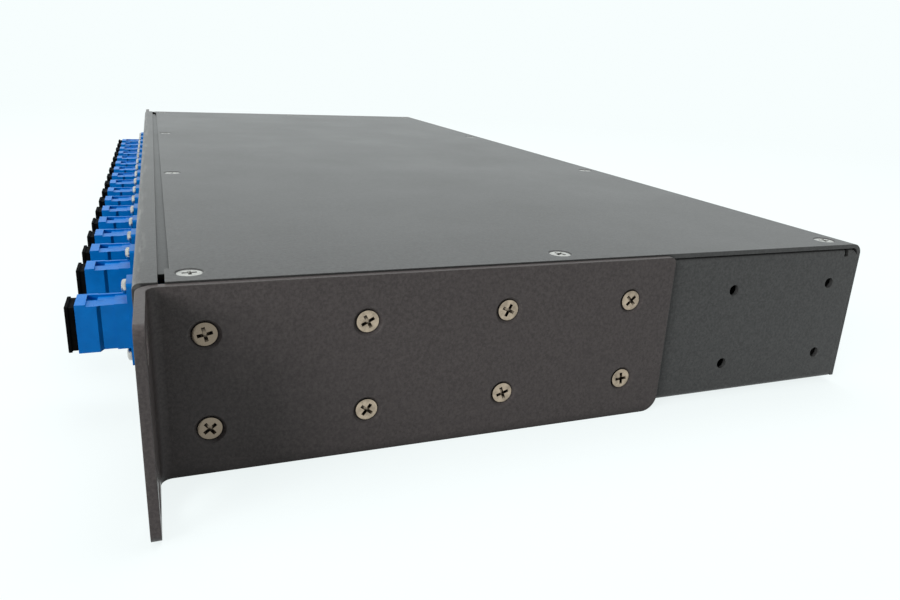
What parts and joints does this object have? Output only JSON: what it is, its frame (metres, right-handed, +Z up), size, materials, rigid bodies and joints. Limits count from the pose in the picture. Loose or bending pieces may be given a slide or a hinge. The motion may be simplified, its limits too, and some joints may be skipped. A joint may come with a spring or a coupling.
{
  "type": "rack-mount fibre splitter chassis",
  "caption": "Low rack-mount sheet-metal chassis with a screwed-on lid and ears, holding an optical splitter behind a front row of blue fibre adapters with dust caps.",
  "frame": {"origin": "middle of the whole part in plan, at the height of the ears' lower edges", "axes": "+X to the part's right as seen from the front, across the rack; +Y to the rear; +Z up; the adapters face -Y"},
  "size_m": [0.4826, 0.217, 0.0444],
  "materials": {
    "powder_coat": "fine-textured dark-grey powder coat",
    "dark_screw": "dark nickel plate",
    "bright_screw": "bright nickel plate",
    "blue_plastic": "satin moulded plastic",
    "cap_plastic": "smooth moulded plastic",
    "module_case": "plain moulded case",
    "pigtail_jacket": "plain plug and jacket"
  },
  "bodies": {
    "chassis": {"chassis_tray": "powder_coat", "top_cover": "powder_coat", "rack_ear_right": "powder_coat", "rack_ear_left": "powder_coat", "ear_screws_right": "dark_screw", "ear_screws_left": "dark_screw", "cover_screws": "bright_screw", "adapter_screws": "bright_screw", "input_adapter": "blue_plastic", "output_adapter_01": "blue_plastic", "output_adapter_02": "blue_plastic", "output_adapter_03": "blue_plastic", "output_adapter_04": "blue_plastic", "output_adapter_05": "blue_plastic", "output_adapter_06": "blue_plastic", "output_adapter_07": "blue_plastic", "output_adapter_08": "blue_plastic", "output_adapter_09": "blue_plastic", "output_adapter_10": "blue_plastic", "output_adapter_11": "blue_plastic", "output_adapter_12": "blue_plastic", "output_adapter_13": "blue_plastic", "output_adapter_14": "blue_plastic", "output_adapter_15": "blue_plastic", "output_adapter_16": "blue_plastic", "splitter_module": "module_case", "input_pigtail": "pigtail_jacket", "output_pigtail_01": "pigtail_jacket", "output_pigtail_02": "pigtail_jacket", "output_pigtail_03": "pigtail_jacket", "output_pigtail_04": "pigtail_jacket", "output_pigtail_05": "pigtail_jacket", "output_pigtail_06": "pigtail_jacket", "output_pigtail_07": "pigtail_jacket", "output_pigtail_08": "pigtail_jacket", "output_pigtail_09": "pigtail_jacket", "output_pigtail_10": "pigtail_jacket", "output_pigtail_11": "pigtail_jacket", "output_pigtail_12": "pigtail_jacket", "output_pigtail_13": "pigtail_jacket", "output_pigtail_14": "pigtail_jacket", "output_pigtail_15": "pigtail_jacket", "output_pigtail_16": "pigtail_jacket"},
    "input_cap_body": {"input_cap": "cap_plastic"},
    "output_01_cap_body": {"output_cap_01": "cap_plastic"},
    "output_02_cap_body": {"output_cap_02": "cap_plastic"},
    "output_03_cap_body": {"output_cap_03": "cap_plastic"},
    "output_04_cap_body": {"output_cap_04": "cap_plastic"},
    "output_05_cap_body": {"output_cap_05": "cap_plastic"},
    "output_06_cap_body": {"output_cap_06": "cap_plastic"},
    "output_07_cap_body": {"output_cap_07": "cap_plastic"},
    "output_08_cap_body": {"output_cap_08": "cap_plastic"},
    "output_09_cap_body": {"output_cap_09": "cap_plastic"},
    "output_10_cap_body": {"output_cap_10": "cap_plastic"},
    "output_11_cap_body": {"output_cap_11": "cap_plastic"},
    "output_12_cap_body": {"output_cap_12": "cap_plastic"},
    "output_13_cap_body": {"output_cap_13": "cap_plastic"},
    "output_14_cap_body": {"output_cap_14": "cap_plastic"},
    "output_15_cap_body": {"output_cap_15": "cap_plastic"},
    "output_16_cap_body": {"output_cap_16": "cap_plastic"}
  },
  "joints": [
    {"name": "input_cap_pull", "type": "slide", "parent": "chassis", "child": "input_cap_body", "axis": [0, -1, 0], "range_m": [0, 0.02]},
    {"name": "output_01_cap_pull", "type": "slide", "parent": "chassis", "child": "output_01_cap_body", "axis": [0, -1, 0], "range_m": [0, 0.02]},
    {"name": "output_02_cap_pull", "type": "slide", "parent": "chassis", "child": "output_02_cap_body", "axis": [0, -1, 0], "range_m": [0, 0.02]},
    {"name": "output_03_cap_pull", "type": "slide", "parent": "chassis", "child": "output_03_cap_body", "axis": [0, -1, 0], "range_m": [0, 0.02]},
    {"name": "output_04_cap_pull", "type": "slide", "parent": "chassis", "child": "output_04_cap_body", "axis": [0, -1, 0], "range_m": [0, 0.02]},
    {"name": "output_05_cap_pull", "type": "slide", "parent": "chassis", "child": "output_05_cap_body", "axis": [0, -1, 0], "range_m": [0, 0.02]},
    {"name": "output_06_cap_pull", "type": "slide", "parent": "chassis", "child": "output_06_cap_body", "axis": [0, -1, 0], "range_m": [0, 0.02]},
    {"name": "output_07_cap_pull", "type": "slide", "parent": "chassis", "child": "output_07_cap_body", "axis": [0, -1, 0], "range_m": [0, 0.02]},
    {"name": "output_08_cap_pull", "type": "slide", "parent": "chassis", "child": "output_08_cap_body", "axis": [0, -1, 0], "range_m": [0, 0.02]},
    {"name": "output_09_cap_pull", "type": "slide", "parent": "chassis", "child": "output_09_cap_body", "axis": [0, -1, 0], "range_m": [0, 0.02]},
    {"name": "output_10_cap_pull", "type": "slide", "parent": "chassis", "child": "output_10_cap_body", "axis": [0, -1, 0], "range_m": [0, 0.02]},
    {"name": "output_11_cap_pull", "type": "slide", "parent": "chassis", "child": "output_11_cap_body", "axis": [0, -1, 0], "range_m": [0, 0.02]},
    {"name": "output_12_cap_pull", "type": "slide", "parent": "chassis", "child": "output_12_cap_body", "axis": [0, -1, 0], "range_m": [0, 0.02]},
    {"name": "output_13_cap_pull", "type": "slide", "parent": "chassis", "child": "output_13_cap_body", "axis": [0, -1, 0], "range_m": [0, 0.02]},
    {"name": "output_14_cap_pull", "type": "slide", "parent": "chassis", "child": "output_14_cap_body", "axis": [0, -1, 0], "range_m": [0, 0.02]},
    {"name": "output_15_cap_pull", "type": "slide", "parent": "chassis", "child": "output_15_cap_body", "axis": [0, -1, 0], "range_m": [0, 0.02]},
    {"name": "output_16_cap_pull", "type": "slide", "parent": "chassis", "child": "output_16_cap_body", "axis": [0, -1, 0], "range_m": [0, 0.02]}
  ]
}
